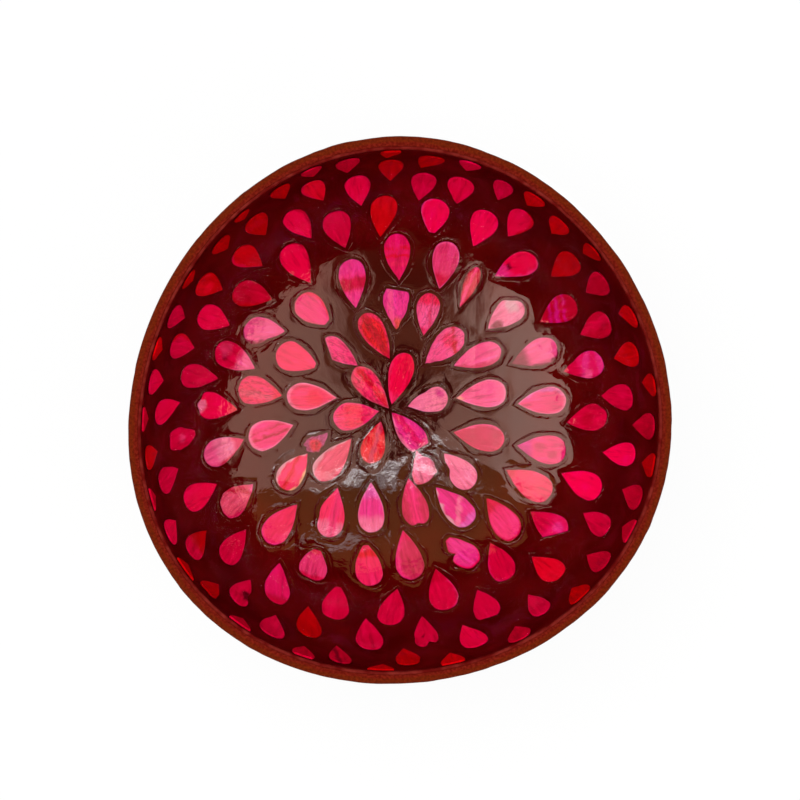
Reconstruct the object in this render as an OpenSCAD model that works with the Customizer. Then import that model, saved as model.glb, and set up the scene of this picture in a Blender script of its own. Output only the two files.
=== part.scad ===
// A bowl made of half a coconut shell, lined with dark lacquer, with petals of
// dyed mother-of-pearl set on the lacquer in rings. The bowl stands on its flat base,
// at the middle of its outline, and the petals point towards the bottom of the bowl.

/* [Shell] */
// Mean width of the bowl across its cut rim
rim_d = 134; // [115:1:155]
// Height of the bowl from its flat base to the rim
bowl_h = 60; // [52:1:70]
// Thickness of the shell at the rim
wall_t = 2.5; // [2.2:0.1:4]
// Thickness of the shell under the lining at the base
floor_t = 2.7; // [2:0.1:4]
// Width of the flat that is sanded under the base
base_d = 42; // [30:1:50]
// Radius that eases the outer edge of the cut rim
rim_ease = 0.8; // [0.4:0.1:1.2]
// Fullness of the wall's curve, where 2 is an ellipse
wall_power = 2.3; // [2.1:0.05:2.6]

/* [Nut outline] */
// Share by which two opposite sides of the nut stand out
two_side_share = 0.0085; // [0:0.0005:0.02]
// Direction in degrees in which the first of the two sides stands out
two_side_dir = 59; // [0:1:180]
// Share by which the three seams of the nut stand out
three_seam_share = 0.0164; // [0:0.0002:0.03]
// Direction in degrees in which the first of the three seams stands out
three_seam_dir = 95; // [0:1:120]

/* [Lacquer] */
// Thickness of the ground lacquer that lines the shell
lacquer_t = 0.7; // [0.5:0.1:1.4]
// Radius that rounds the lacquer's lip at the rim
lip_round = 0.5; // [0.2:0.1:0.6]

/* [Petals] */
// Length of a petal along the wall
petal_l = 13.2; // [11:0.1:14]
// Width of a petal at its widest
petal_w = 7.1; // [5.5:0.1:7.6]
// Thickness of a petal
petal_t = 0.45; // [0.3:0.05:0.8]
// Bedding of glue between a petal and the curve of the lacquer
bedding_t = 0.2; // [0.2:0.05:0.35]
// Strip of bare lacquer between the highest petals and the rim
bare_strip = 0.9; // [0.8:0.1:3]

/* [Hidden] */
// Clearance between the shell and its lining
lining_gap = 0.05;
// Facets around the bowl, rows of facets up a wall, and facets of a rounded edge
around = 72;
wall_rows = 16;
edge_rows = 2;
// Sides of a petal's outline
petal_sides = 12;
// A petal's length as a share of the bowl's width, where petals lie just as laid out
usual_petal_share = 0.0985;
// Powers that shape a petal's side: from its tip, and from its round end
tip_power = 1.0;
round_power = 0.5;

rim_r = rim_d/2;
base_r = base_d/2;
base_bearing_share = pow(base_r/rim_r, wall_power/2);
shell_inner_r = rim_r - wall_t;
shell_inner_deep = bowl_h - floor_t;
lining_outer_r = shell_inner_r - lining_gap;
lining_outer_deep = shell_inner_deep - lining_gap;
lacquer_r = lining_outer_r - lacquer_t;
lacquer_deep = lining_outer_deep - lacquer_t;
// Petals that are longer for the bowl's width lie further up the wall
spread_power = petal_l/rim_d/usual_petal_share;
// The outer curve goes on below the sanded base, down to this depth under the rim
outer_deep = bowl_h/pow(1 - pow(base_r/rim_r, wall_power), 1/wall_power);

// Each ring's petals, from the bottom of the bowl to the rim. A petal has its bearing in
// degrees, its middle as a share of the way up the wall, the turn in degrees of its round
// end to the left, and its length and width as shares of a petal's usual size.
petal_shares = [
  [
    [8, 0.076, 7, 0.83, 0.96],
    [74, 0.055, 0, 1.09, 0.93],
    [138, 0.052, -7, 1.08, 0.92],
    [194.5, 0.073, -5, 0.94, 1.04],
    [245.5, 0.081, 8, 0.88, 0.9],
    [304, 0.061, 7, 1.03, 0.94]
  ],
  [
    [102, 0.16, 19, 1.08, 0.92],
    [133.5, 0.172, 10, 0.91, 0.78],
    [173, 0.19, 4, 1.05, 1.02],
    [205.5, 0.187, 11, 0.54, 0.6],
    [222.5, 0.175, 6, 1.08, 1.0],
    [297, 0.156, -10, 0.67, 0.92],
    [316.5, 0.22, -6, 0.91, 1.0],
    [341, 0.219, 10, 1.06, 1.02],
    [7.5, 0.217, 1, 1.04, 1.04],
    [30, 0.242, -9, 1.04, 0.92],
    [48.5, 0.184, -7, 1.01, 1.0],
    [69, 0.235, 12, 0.89, 0.86],
    [87.5, 0.236, 5, 0.95, 0.96],
    [258.5, 0.252, 11, 1.05, 1.0],
    [283, 0.242, -1, 1.04, 0.98]
  ],
  [
    [107.5, 0.326, -10, 1.07, 1.02],
    [129, 0.315, 9, 0.93, 1.08],
    [153, 0.266, 5, 0.96, 1.08],
    [173, 0.348, -4, 0.98, 1.08],
    [192, 0.31, 6, 1.02, 1.1],
    [213, 0.283, 18, 0.91, 1.0],
    [240.5, 0.301, 16, 1.06, 1.04],
    [302, 0.295, 12, 1.07, 1.04]
  ],
  [
    [2.3, 0.399, 4, 1.08, 1.04],
    [20.5, 0.41, 3, 1.1, 1.02],
    [39.5, 0.389, 2, 0.99, 1.0],
    [57.5, 0.371, 9, 0.97, 0.54],
    [70, 0.397, 9, 1.1, 1.0],
    [88, 0.39, 6, 1.06, 0.98],
    [123.3, 0.48, 0, 1.12, 1.06],
    [149, 0.408, 26, 0.94, 1.06],
    [162.3, 0.465, -9, 1.1, 1.0],
    [179.2, 0.5, -8, 1.08, 1.0],
    [193.5, 0.478, 9, 1.06, 1.0],
    [210, 0.49, 9, 1.0, 1.0],
    [226, 0.422, 2, 1.1, 1.02],
    [243, 0.478, 10, 0.82, 1.06],
    [261, 0.43, 13, 1.0, 1.04],
    [276, 0.402, 4, 1.12, 1.04],
    [295.3, 0.435, 20, 0.94, 0.98],
    [314.5, 0.418, -8, 1.11, 1.04],
    [331, 0.416, 0, 1.15, 1.06],
    [344.5, 0.413, 8, 1.1, 1.08]
  ],
  [
    [12.7, 0.574, 4, 1.09, 1.0],
    [30.7, 0.561, 2, 1.09, 1.02],
    [49.3, 0.539, -18, 1.13, 0.96],
    [64.2, 0.586, 3, 1.09, 1.02],
    [78.1, 0.557, 5, 1.01, 1.04],
    [93.2, 0.544, -6, 1.11, 0.98],
    [107, 0.524, 3, 1.01, 1.04],
    [141, 0.524, 20, 1.03, 1.04],
    [253.2, 0.596, 3, 0.97, 1.02],
    [269.5, 0.594, -12, 1.01, 0.98],
    [284.8, 0.55, 0, 1.09, 1.06],
    [304.6, 0.538, -8, 1.01, 1.0],
    [323.2, 0.559, 2, 1.09, 1.04],
    [338.5, 0.594, -2, 1.17, 1.02],
    [357.2, 0.564, 13, 1.07, 1.0]
  ],
  [
    [3.5, 0.707, -2, 1.07, 0.96],
    [22.5, 0.684, 5, 1.07, 1.0],
    [40.5, 0.709, 1, 1.13, 0.96],
    [56.8, 0.701, 1, 1.09, 0.96],
    [73.8, 0.719, 4, 1.03, 0.96],
    [83.1, 0.692, -2, 1.01, 0.9],
    [99.5, 0.679, 2, 1.07, 0.94],
    [117.1, 0.62, 10, 1.09, 0.9],
    [133.9, 0.652, 11, 1.03, 0.92],
    [153.2, 0.619, 2, 1.05, 0.98],
    [170.3, 0.594, 1, 1.13, 0.88],
    [187.3, 0.647, 8, 0.97, 0.84],
    [203.4, 0.626, 3, 1.13, 0.96],
    [220.4, 0.614, 8, 1.11, 0.9],
    [236.1, 0.619, 19, 1.11, 0.98],
    [294.7, 0.674, 0, 0.99, 1.0],
    [314, 0.684, 8, 1.09, 0.94]
  ],
  [
    [13.8, 0.804, 3, 1.13, 0.92],
    [32.3, 0.804, 3, 1.11, 0.94],
    [91.4, 0.787, 1, 1.03, 0.88],
    [110.1, 0.751, 11, 0.99, 0.86],
    [126.5, 0.754, 1, 1.01, 0.94],
    [145.9, 0.736, 7, 1.07, 0.96],
    [163, 0.727, 3, 0.97, 0.94],
    [179.4, 0.746, 13, 1.07, 0.86],
    [196, 0.769, 11, 0.99, 0.9],
    [213.4, 0.762, 8, 1.13, 0.88],
    [229.6, 0.756, 2, 1.07, 0.92],
    [247.6, 0.728, 12, 1.05, 0.94],
    [263.1, 0.731, 8, 1.13, 0.98],
    [277.5, 0.729, 0, 1.11, 0.9],
    [288.3, 0.816, 8, 1.15, 0.96],
    [306, 0.814, 2, 1.09, 0.78],
    [331, 0.736, -2, 1.07, 0.86],
    [349.1, 0.731, 5, 1.17, 0.86]
  ],
  [
    [49.3, 0.856, 3, 0.97, 0.88],
    [64.8, 0.834, 4, 1.11, 0.76],
    [83, 0.874, -14, 0.97, 0.86],
    [101.5, 0.874, -2, 1.01, 0.88],
    [117.8, 0.876, 2, 1.03, 0.78],
    [136.2, 0.85, 4, 0.81, 0.86],
    [156.3, 0.857, 3, 1.05, 0.9],
    [172.4, 0.867, 2, 1.03, 0.92],
    [189.6, 0.887, 5, 1.01, 0.86],
    [207, 0.887, 10, 1.01, 0.88],
    [223, 0.894, -8, 1.01, 0.8],
    [239.7, 0.842, 3, 1.09, 0.98],
    [256.3, 0.894, 8, 1.05, 0.8],
    [272.2, 0.878, 6, 0.99, 0.92],
    [323.6, 0.879, 5, 1.21, 0.88],
    [340.6, 0.877, -3, 1.19, 0.9],
    [357, 0.876, 2, 1.29, 0.94]
  ],
  [
    [6.8, 0.941, -3, 1.05, 0.8],
    [23.2, 0.924, -8, 1.13, 0.84],
    [40.2, 0.929, -5, 1.01, 0.78],
    [57.8, 0.907, -1, 1.07, 0.84],
    [74.2, 0.934, 0, 0.99, 0.78],
    [92.1, 0.954, -6, 0.95, 0.7],
    [109.8, 0.936, 2, 1.01, 0.78],
    [128.3, 0.929, 0, 0.73, 0.66],
    [147.1, 0.939, 2, 0.83, 0.76],
    [164.6, 0.944, -1, 1.03, 0.86],
    [180.8, 0.964, -2, 0.99, 0.86],
    [198.5, 0.979, 0, 0.93, 0.8],
    [215.4, 0.979, 0, 0.93, 0.96],
    [232.4, 0.974, -2, 0.93, 0.88],
    [248, 0.954, 0, 0.97, 0.84],
    [265.8, 0.984, -6, 0.81, 0.92],
    [282.2, 0.959, 0, 1.07, 0.86],
    [298.6, 0.936, -2, 1.05, 0.88],
    [315, 0.944, 2, 1.07, 0.94],
    [333.2, 0.964, 1, 1.03, 0.9],
    [348.6, 0.949, 1, 1.07, 0.86]
  ]
];
// The rings whose petals each have a node of their own, counted from the bottom
single_rings = 4;
// The petals' dye, ring by ring, from pink at the bottom to red at the rim
petal_colours = [
  "#f2466e", "#f4688a", "#f76a92", "#f55f86", "#de1448",
  "#c4103a", "#b80e30", "#a80c28", "#98101c"
];

// The node that holds a petal: its own in the lower rings, and its ring's in the upper ones
function petal_node(ring, i) = ring < single_rings
  ? str("ring_", ring + 1, "_petal_", i + 1)
  : str("ring_", ring + 1, "_petals");

// The nut's outline, as a factor on every radius in the direction a
function nut(a) = 1 + two_side_share*cos(2*(a - two_side_dir))
  + three_seam_share*cos(3*(a - three_seam_dir));

function outline_at(a) = rim_r*nut(a)*[cos(a), sin(a)];
outline = [for (i = [0:around - 1]) outline_at(i*360/around)];
outline_x = [for (p = outline) p.x];
outline_y = [for (p = outline) p.y];
// The outline's own centre lies off the middle of its box by this much
off_middle = [(max(outline_x) + min(outline_x))/2, (max(outline_y) + min(outline_y))/2];

// A point of the bowl from its distance to the axis, its bearing and its height
function bowl_point(r, a, z) = [
  r*nut(a)*cos(a) - off_middle.x,
  r*nut(a)*sin(a) - off_middle.y,
  z
];

// A point on a wall's curve, where bearing 0 is the bottom and 90 the rim's level
function wall_point(r, deep, bearing) = [
  r*pow(sin(bearing), 2/wall_power),
  bowl_h - deep*pow(cos(bearing), 2/wall_power)
];
// The bearing at which a wall's curve lies a given depth below the rim's level
function bearing_at(deep, below) = acos(pow(below/deep, wall_power/2));
// The curve of a wall from one bearing to another, both ends included
function wall_curve(r, deep, from, to) = [
  for (i = [0:wall_rows]) wall_point(r, deep, from + (to - from)*i/wall_rows)
];
// A quarter round from one angle to another, both ends included. The wall beside it
// stops short of it by the same radius, and one straight facet joins the two.
function edge_round(centre, r, from, to) = [
  for (i = [0:edge_rows])
    let (a = from + (to - from)*i/edge_rows)
    centre + r*[cos(a), sin(a)]
];

// A closed solid turned about the bowl's axis along the nut's outline. The profile
// runs from the axis back to the axis, with the solid on its left.
module turned(profile) {
  last = len(profile) - 1;
  rows = [for (k = [1:last - 1]) profile[k]];
  ring_points = [
    for (p = rows) each [for (i = [0:around - 1]) bowl_point(p[0], i*360/around, p[1])]
  ];
  first_tip = len(ring_points);
  strips = [
    for (k = [0:len(rows) - 2]) each [
      for (i = [0:around - 1]) each
        let (
          next = (i + 1)%around,
          a = k*around + i,
          b = k*around + next,
          c = (k + 1)*around + next,
          d = (k + 1)*around + i
        )
        [[a, d, c], [a, c, b]]
    ]
  ];
  top_row = (len(rows) - 1)*around;
  first_fan = [for (i = [0:around - 1]) [first_tip, i, (i + 1)%around]];
  last_fan = [for (i = [0:around - 1]) [first_tip + 1, top_row + (i + 1)%around, top_row + i]];
  polyhedron(
    points = concat(
      ring_points,
      [bowl_point(0, 0, profile[0][1]), bowl_point(0, 0, profile[last][1])]
    ),
    faces = concat(strips, first_fan, last_fan)
  );
}

module coconut_shell() {
  outer_from = asin(base_bearing_share);
  outer_to = bearing_at(outer_deep, 2*rim_ease);
  outer = wall_curve(rim_r, outer_deep, outer_from, outer_to);
  eased = edge_round([rim_r - rim_ease, bowl_h - rim_ease], rim_ease, 0, 90);
  inner = wall_curve(shell_inner_r, shell_inner_deep, 90, 0);
  color("#7a4a2b")
    turned(concat([[0, 0]], outer, eased, inner));
}

module ground_lacquer() {
  inner_from = bearing_at(lacquer_deep, 2*lip_round);
  outer = wall_curve(lining_outer_r, lining_outer_deep, 0, 90);
  lip = edge_round([lacquer_r + lip_round, bowl_h - lip_round], lip_round, 90, 180);
  inner = wall_curve(lacquer_r, lacquer_deep, inner_from, 0);
  color("#3c0606")
    turned(concat(outer, lip, inner));
}

// A point of the lacquer's surface at a bearing and a share of the way up the wall
function lacquer_point(a, up_share) =
  let (p = wall_point(lacquer_r, lacquer_deep, 90*up_share))
  bowl_point(p[0], a, p[1]);

// The point that lies a given lift above the lacquer, on the line from the rim's
// middle through a point beside the wall
function on_lacquer(p, lift) =
  let (
    x = p.x + off_middle.x,
    y = p.y + off_middle.y,
    below = max(bowl_h - p.z, bare_strip),
    a = atan2(y, x),
    out_share = norm([x, y])/((lacquer_r - lift)*nut(a)),
    deep_share = below/(lacquer_deep - lift),
    reach_share = pow(pow(out_share, wall_power) + pow(deep_share, wall_power), -1/wall_power)
  )
  [x*reach_share - off_middle.x, y*reach_share - off_middle.y, bowl_h - below*reach_share];

// The share of the way up the wall at which a petal lies, from its laid out share
function spread_share(up_share) = 1 - pow(1 - up_share, spread_power);

// Half the width of a petal at a share of its length from the tip
function petal_side_share(along_share) =
  let (widest_share = tip_power/(tip_power + round_power))
  pow(along_share/widest_share, tip_power)
    *pow((1 - along_share)/(1 - widest_share), round_power)/2;

// A petal's outline on a flat sheet, counter-clockwise, with its round end towards +Y
function petal_outline(length, width) = [
  for (i = [0:petal_sides - 1])
    let (
      turn = i*360/petal_sides,
      along_share = (1 - cos(turn))/2,
      side = turn <= 180 ? 1 : -1
    )
    [side*width*petal_side_share(along_share), length*(along_share - 1/2)]
];

module petal(ring, place) {
  bearing = place[0];
  up_share = spread_share(place[1]);
  turn = place[2];
  middle = lacquer_point(bearing, up_share);
  step_share = 0.001;
  step = lacquer_point(bearing, up_share + step_share) - middle;
  up_wall = step/norm(step);
  along_wall = [-sin(bearing), cos(bearing), 0];
  lengthways = up_wall*cos(turn) + along_wall*sin(turn);
  crossways = along_wall*cos(turn) - up_wall*sin(turn);
  sheet = concat(petal_outline(petal_l*place[3], petal_w*place[4]), [[0, 0]]);
  laid = [for (p = sheet) middle + p.x*crossways + p.y*lengthways];
  under = [for (p = laid) on_lacquer(p, bedding_t)];
  over = [for (p = laid) on_lacquer(p, bedding_t + petal_t)];
  hub = petal_sides;
  first_over = len(laid);
  color(petal_colours[ring])
    polyhedron(
      points = concat(under, over),
      faces = [
        for (i = [0:petal_sides - 1]) each
          let (next = (i + 1)%petal_sides)
          [
            [hub, i, next],
            [first_over + hub, first_over + next, first_over + i],
            [i, first_over + next, next],
            [i, first_over + i, first_over + next]
          ]
      ]
    );
}

coconut_shell();
ground_lacquer();
for (ring = [0:len(petal_shares) - 1])
  for (i = [0:len(petal_shares[ring]) - 1])
    petal(ring, petal_shares[ring][i]);
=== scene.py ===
import math

import bpy
import numpy as np
from mathutils import Matrix, Vector


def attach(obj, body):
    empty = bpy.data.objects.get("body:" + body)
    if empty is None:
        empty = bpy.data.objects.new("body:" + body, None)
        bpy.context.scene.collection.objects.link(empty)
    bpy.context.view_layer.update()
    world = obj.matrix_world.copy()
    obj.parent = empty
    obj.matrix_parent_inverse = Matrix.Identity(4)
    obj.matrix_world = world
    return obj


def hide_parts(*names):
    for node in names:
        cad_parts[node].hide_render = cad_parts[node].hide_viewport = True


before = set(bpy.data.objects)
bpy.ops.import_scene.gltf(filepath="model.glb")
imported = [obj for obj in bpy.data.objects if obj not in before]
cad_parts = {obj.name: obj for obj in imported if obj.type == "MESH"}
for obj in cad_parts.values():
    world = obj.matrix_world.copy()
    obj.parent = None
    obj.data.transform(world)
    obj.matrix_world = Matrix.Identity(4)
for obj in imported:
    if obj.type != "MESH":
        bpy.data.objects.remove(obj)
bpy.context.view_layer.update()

# Sizes in millimetres, as in the part's source. MM turns them into metres.

MM = 0.001
RIM_R = 67.0
BOWL_H = 60.0
WALL_T = 2.5
FLOOR_T = 2.7
BASE_R = 21.0
RIM_EASE = 0.8
WALL_POWER = 2.3
LINING_GAP = 0.05
LACQUER_T = 0.7
LIP_ROUND = 0.5
PETAL_L = 13.2
PETAL_W = 7.1
PETAL_T = 0.45
BEDDING_T = 0.2
BARE_STRIP = 0.9
TIP_POWER = 1.0
ROUND_POWER = 0.5
OVAL, OVAL_TURN = 0.0085, math.radians(59)
THREE_CORNERED, CORNER_TURN = 0.0164, math.radians(95)

# What only the looks have
TURNED_AROUND = 360  # points around the shell and the lining
PETAL_AROUND = 60  # points round a petal's outline
FILM_T = 0.6  # the clear coat
SWELL_T = 0.15  # how much thicker it stands over a petal
OUT_OF_REACH = 6.0  # the farthest that it takes note of a petal
UNDER_EASE = 0.08  # the ease under a petal's edge
HAND_CUT = 0.018  # how unevenly a petal is cut
TOUCH_COVERS = 0.85  # how much of the dye a touch covers
ASPECT = 0.54  # a petal's width as a share of its length

LINING_R = RIM_R - WALL_T - LINING_GAP
LINING_DEEP = BOWL_H - FLOOR_T - LINING_GAP
LACQUER_R = LINING_R - LACQUER_T
LACQUER_DEEP = LINING_DEEP - LACQUER_T
OUTER_DEEP = BOWL_H / (1 - (BASE_R / RIM_R) ** WALL_POWER) ** (1 / WALL_POWER)


def nut(a):
    """The nut's outline, as a factor on every radius in the direction a."""
    return 1 + OVAL * np.cos(2 * (a - OVAL_TURN)) + THREE_CORNERED * np.cos(3 * (a - CORNER_TURN))


sampled = np.radians(np.arange(72) * 5.0)
rim_x = RIM_R * nut(sampled) * np.cos(sampled)
rim_y = RIM_R * nut(sampled) * np.sin(sampled)
OFF_MIDDLE = np.array([(rim_x.max() + rim_x.min()) / 2, (rim_y.max() + rim_y.min()) / 2])


def bowl_points(r, a, z):
    """Points of the bowl from distances to the axis, bearings and heights."""
    r, a, z = np.broadcast_arrays(r, a, z)
    return np.stack([r * nut(a) * np.cos(a) - OFF_MIDDLE[0],
                     r * nut(a) * np.sin(a) - OFF_MIDDLE[1], z], -1).astype(float)


def wall(r, deep, b):
    """Radius and height on a wall's curve, from b = 0 at the bottom to pi/2 at the rim's level."""
    sine = np.clip(np.sin(b), 0, 1)
    cosine = np.clip(np.cos(b), 0, 1)
    return r * sine ** (2 / WALL_POWER), BOWL_H - deep * cosine ** (2 / WALL_POWER)


def bearing_at(deep, below):
    return math.acos((below / deep) ** (WALL_POWER / 2))


def on_lacquer(p, lift):
    """The points above the lacquer by lift, on lines from the rim's middle through p."""
    x = p[:, 0] + OFF_MIDDLE[0]
    y = p[:, 1] + OFF_MIDDLE[1]
    below = np.maximum(BOWL_H - p[:, 2], BARE_STRIP)
    a = np.arctan2(y, x)
    out = np.hypot(x, y) / ((LACQUER_R - lift) * nut(a))
    down = below / (LACQUER_DEEP - lift)
    reach = (out ** WALL_POWER + down ** WALL_POWER) ** (-1 / WALL_POWER)
    return np.stack([x * reach - OFF_MIDDLE[0], y * reach - OFF_MIDDLE[1], BOWL_H - below * reach], -1)


def srgb(r, g, b):
    """A colour as it shows on a screen, from 0 to 255, as the shader's linear colour."""
    def linear(c):
        c /= 255
        return c / 12.92 if c <= 0.04045 else ((c + 0.055) / 1.055) ** 2.4
    return (linear(r), linear(g), linear(b))


def smooth(t):
    t = np.clip(t, 0, 1)
    return t * t * (3 - 2 * t)


class Ripples:
    """A smooth random surface made of sine waves in fixed random directions."""

    def __init__(self, seed, wavelength, waves=18):
        dice = np.random.default_rng(seed)
        ways = dice.normal(size=(waves, 3))
        ways /= np.linalg.norm(ways, axis=1)[:, None]
        spread = dice.uniform(0.6, 1.7, waves)
        self.ways = ways * (2 * math.pi / wavelength * spread)[:, None]
        self.phases = dice.uniform(0, 2 * math.pi, waves)
        self.scale = math.sqrt(2 / waves)

    def __call__(self, p):
        return np.sin(p @ self.ways.T + self.phases).sum(1) * self.scale


def make_object(name, points, faces, smooth_shaded=True):
    mesh = bpy.data.meshes.new(name)
    mesh.from_pydata([tuple(p) for p in np.asarray(points) * MM], [], faces)
    mesh.validate()
    if smooth_shaded:
        mesh.polygons.foreach_set("use_smooth", [True] * len(mesh.polygons))
    mesh.update()
    obj = bpy.data.objects.new(name, mesh)
    bpy.context.scene.collection.objects.link(obj)
    return obj


def give_numbers(obj, name, kind, values):
    """Stores a number, vector or colour for each point of a piece, which its material reads."""
    field = {"FLOAT": "value", "FLOAT_VECTOR": "vector", "FLOAT_COLOR": "color"}[kind]
    layer = obj.data.attributes.new(name, kind, "POINT")
    layer.data.foreach_set(field, np.asarray(values, np.float32).ravel())


def turned(name, rows, unevenness=None):
    """A closed solid turned along the nut's outline. Its first and last rows are on the axis."""
    around = TURNED_AROUND
    a = np.arange(around) * 2 * math.pi / around
    rings = [bowl_points(r, a, z) for r, z in rows[1:-1]]
    points = np.concatenate(rings)
    if unevenness:
        points = unevenness(points)
    first = len(points)
    tips = [bowl_points(0, np.zeros(1), rows[k][1]) for k in (0, -1)]
    points = np.concatenate([points] + tips)
    faces = []
    for k in range(len(rings) - 1):
        for i in range(around):
            j = (i + 1) % around
            faces.append((k * around + i, k * around + j, (k + 1) * around + j, (k + 1) * around + i))
    last = (len(rings) - 1) * around
    for i in range(around):
        j = (i + 1) % around
        faces.append((first, j, i))
        faces.append((first + 1, last + i, last + j))
    return make_object(name, points, faces)


class Wire:
    """A shader socket on which Python's operators work."""

    def __init__(self, finish, socket):
        self.finish = finish
        self.socket = socket

    def __add__(self, other):
        return self.finish.math("ADD", self, other)

    def __radd__(self, other):
        return self.finish.math("ADD", other, self)

    def __sub__(self, other):
        return self.finish.math("SUBTRACT", self, other)

    def __rsub__(self, other):
        return self.finish.math("SUBTRACT", other, self)

    def __mul__(self, other):
        return self.finish.math("MULTIPLY", self, other)

    def __rmul__(self, other):
        return self.finish.math("MULTIPLY", other, self)

    def __pow__(self, other):
        return self.finish.math("POWER", self, other)

    def __abs__(self):
        return self.finish.math("ABSOLUTE", self)


class Finish:
    """The node tree of a material or of the world."""

    def __init__(self, owner):
        self.owner = owner
        owner.use_nodes = True
        self.tree = owner.node_tree
        self.tree.nodes.clear()

    def node(self, kind, settings=None, values=None, output=0):
        """A node of a type, with its settings and the values or links of its sockets."""
        made = self.tree.nodes.new("ShaderNode" + kind)
        for name, value in (settings or {}).items():
            setattr(made, name, value)
        for name, value in (values or {}).items():
            socket = made.inputs[name]
            if isinstance(value, Wire):
                self.tree.links.new(value.socket, socket)
            elif isinstance(value, tuple) and len(value) == 3 and socket.type == "RGBA":
                socket.default_value = (*value, 1)
            else:
                socket.default_value = value
        return Wire(self, made.outputs[output]) if len(made.outputs) else made

    def math(self, operation, a, b=0.0):
        return self.node("Math", {"operation": operation}, {0: a, 1: b})

    def blend(self, factor, a, b, way="MIX"):
        """One colour over another by a factor."""
        return self.node("Mix", {"data_type": "RGBA", "blend_type": way}, {0: factor, 6: a, 7: b}, 2)

    def stretch(self, vector, scales):
        return self.node("VectorMath", {"operation": "MULTIPLY"}, {0: vector, 1: scales})

    def shift(self, vector, other):
        return self.node("VectorMath", {"operation": "ADD"}, {0: vector, 1: other})

    def millimetres(self):
        """Where a point of the piece lies, in millimetres."""
        return self.stretch(self.node("TexCoord", {}, {}, "Object"), (1 / MM,) * 3)

    def noise(self, vector, scale, detail=3.0, roughness=0.5, distortion=0.0):
        return self.node("TexNoise", {}, {"Vector": vector, "Scale": scale, "Detail": detail,
                                          "Roughness": roughness, "Distortion": distortion})

    def step(self, value, low, high):
        """0 under low, 1 over high, and smooth between them."""
        return self.node("MapRange", {"interpolation_type": "SMOOTHSTEP"},
                         {0: value, 1: low, 2: high, 3: 0.0, 4: 1.0})

    def given(self, name, output="Fac"):
        """What give_numbers stored."""
        return self.node("Attribute", {"attribute_name": name}, {}, output)

    def bump(self, height, strength, distance):
        return self.node("Bump", {}, {"Strength": strength, "Distance": distance, "Height": height})

    def parts(self, vector):
        split = self.node("SeparateXYZ", {}, {0: vector})
        outs = split.socket.node.outputs
        return Wire(self, outs[0]), Wire(self, outs[1]), Wire(self, outs[2])

    def surface(self, shader):
        self.node("OutputMaterial", {}, {"Surface": shader})
        return self.owner


def material(name):
    return Finish(bpy.data.materials.new(name))


def shell_finish():
    """Polished coconut shell: dark and light fibres run from the base to the rim."""
    f = material("polished_coconut_shell")
    place = f.millimetres()
    x, y, z = f.parts(place)
    turn = f.math("ARCTAN2", y, x)
    out = (x * x + y * y) ** 0.5
    # The fibres' pattern is wrapped on a drum around the axis and drawn out from base to rim
    drum_r, drawn_out = 34.0, 0.14
    wrapped = f.node("CombineXYZ", {}, {0: f.math("COSINE", turn) * drum_r,
                                        1: f.math("SINE", turn) * drum_r,
                                        2: (z + out * 0.6) * drawn_out})
    sway = f.noise(place, 0.05, 2.0)
    swayed = f.shift(wrapped, f.stretch(sway, (3.0, 3.0, 3.0)))
    broad = f.noise(swayed, 0.16, 4.0, 0.6)
    fibres = f.noise(swayed, 0.75, 5.0, 0.65)
    hairs = f.noise(swayed, 2.6, 3.0, 0.6)
    flecks = f.noise(place, 0.9, 4.0, 0.7)
    pits = f.step(flecks, 0.6, 0.72)
    colour = f.blend(f.step(broad, 0.35, 0.68), srgb(62, 34, 20), srgb(112, 66, 38))
    colour = f.blend(f.step(fibres, 0.5, 0.66) * 0.75, colour, srgb(156, 102, 62))
    colour = f.blend(f.step(fibres, 0.46, 0.34) * 0.8, colour, srgb(40, 20, 12))
    colour = f.blend(f.step(hairs, 0.56, 0.72) * 0.55, colour, srgb(176, 124, 80))
    colour = f.blend(pits * 0.5, colour, srgb(34, 17, 10))
    # The cut rim: redder, with the ends of the fibres, and a paler line beside the lacquer: dark red,
    # and paler in patches as a painted highlight along the rim's inner edge
    rim = f.step(z, BOWL_H - 0.9, BOWL_H - 0.25)
    ends = f.noise(place, 1.6, 3.0, 0.6)
    cut = f.blend(f.step(ends, 0.22, 0.82), srgb(76, 17, 2), srgb(112, 34, 6))
    patches = f.noise(place, 0.22, 2.0)
    off_axis = f.given("from_axis") + patches * 1.2
    red_line_highlight = f.blend(f.step(ends, 0.35, 0.7), srgb(86, 6, 2), srgb(120, 28, 18))
    cut = f.blend(f.step(off_axis, 66.4, 65.7) * 0.8, cut, red_line_highlight)
    colour = f.blend(rim, colour, cut)
    # The sanded base shows the shell's paler inside, darker towards its edge
    base = f.step(z, 0.35, 0.1)
    grain = f.noise(f.stretch(place, (0.45, 1.0, 1.0)), 0.5, 5.0, 0.65)
    sanded = f.blend(f.step(grain, 0.35, 0.68), srgb(112, 72, 44), srgb(168, 120, 78))
    sanded = f.blend(f.step(out + grain * 5.0, 18.0, 23.5) * 0.7, sanded, srgb(84, 50, 30))
    sanded = f.blend(f.step(flecks, 0.52, 0.7) * 0.6, sanded, srgb(78, 46, 28))
    colour = f.blend(base, colour, sanded)
    rough = 0.36 + fibres * 0.16 + base * 0.25 + rim * 0.15
    height = fibres * 0.7 + hairs * 0.3 + pits * -0.5
    shader = f.node("BsdfPrincipled", {}, {
        "Base Color": colour, "Roughness": rough, "IOR": 1.12,
        "Normal": f.bump(height, 0.35, 0.00025),
        "Coat Weight": 0.6 * (1 - base) * (1 - rim), "Coat Roughness": 0.15})
    return f.surface(shader)


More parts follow.
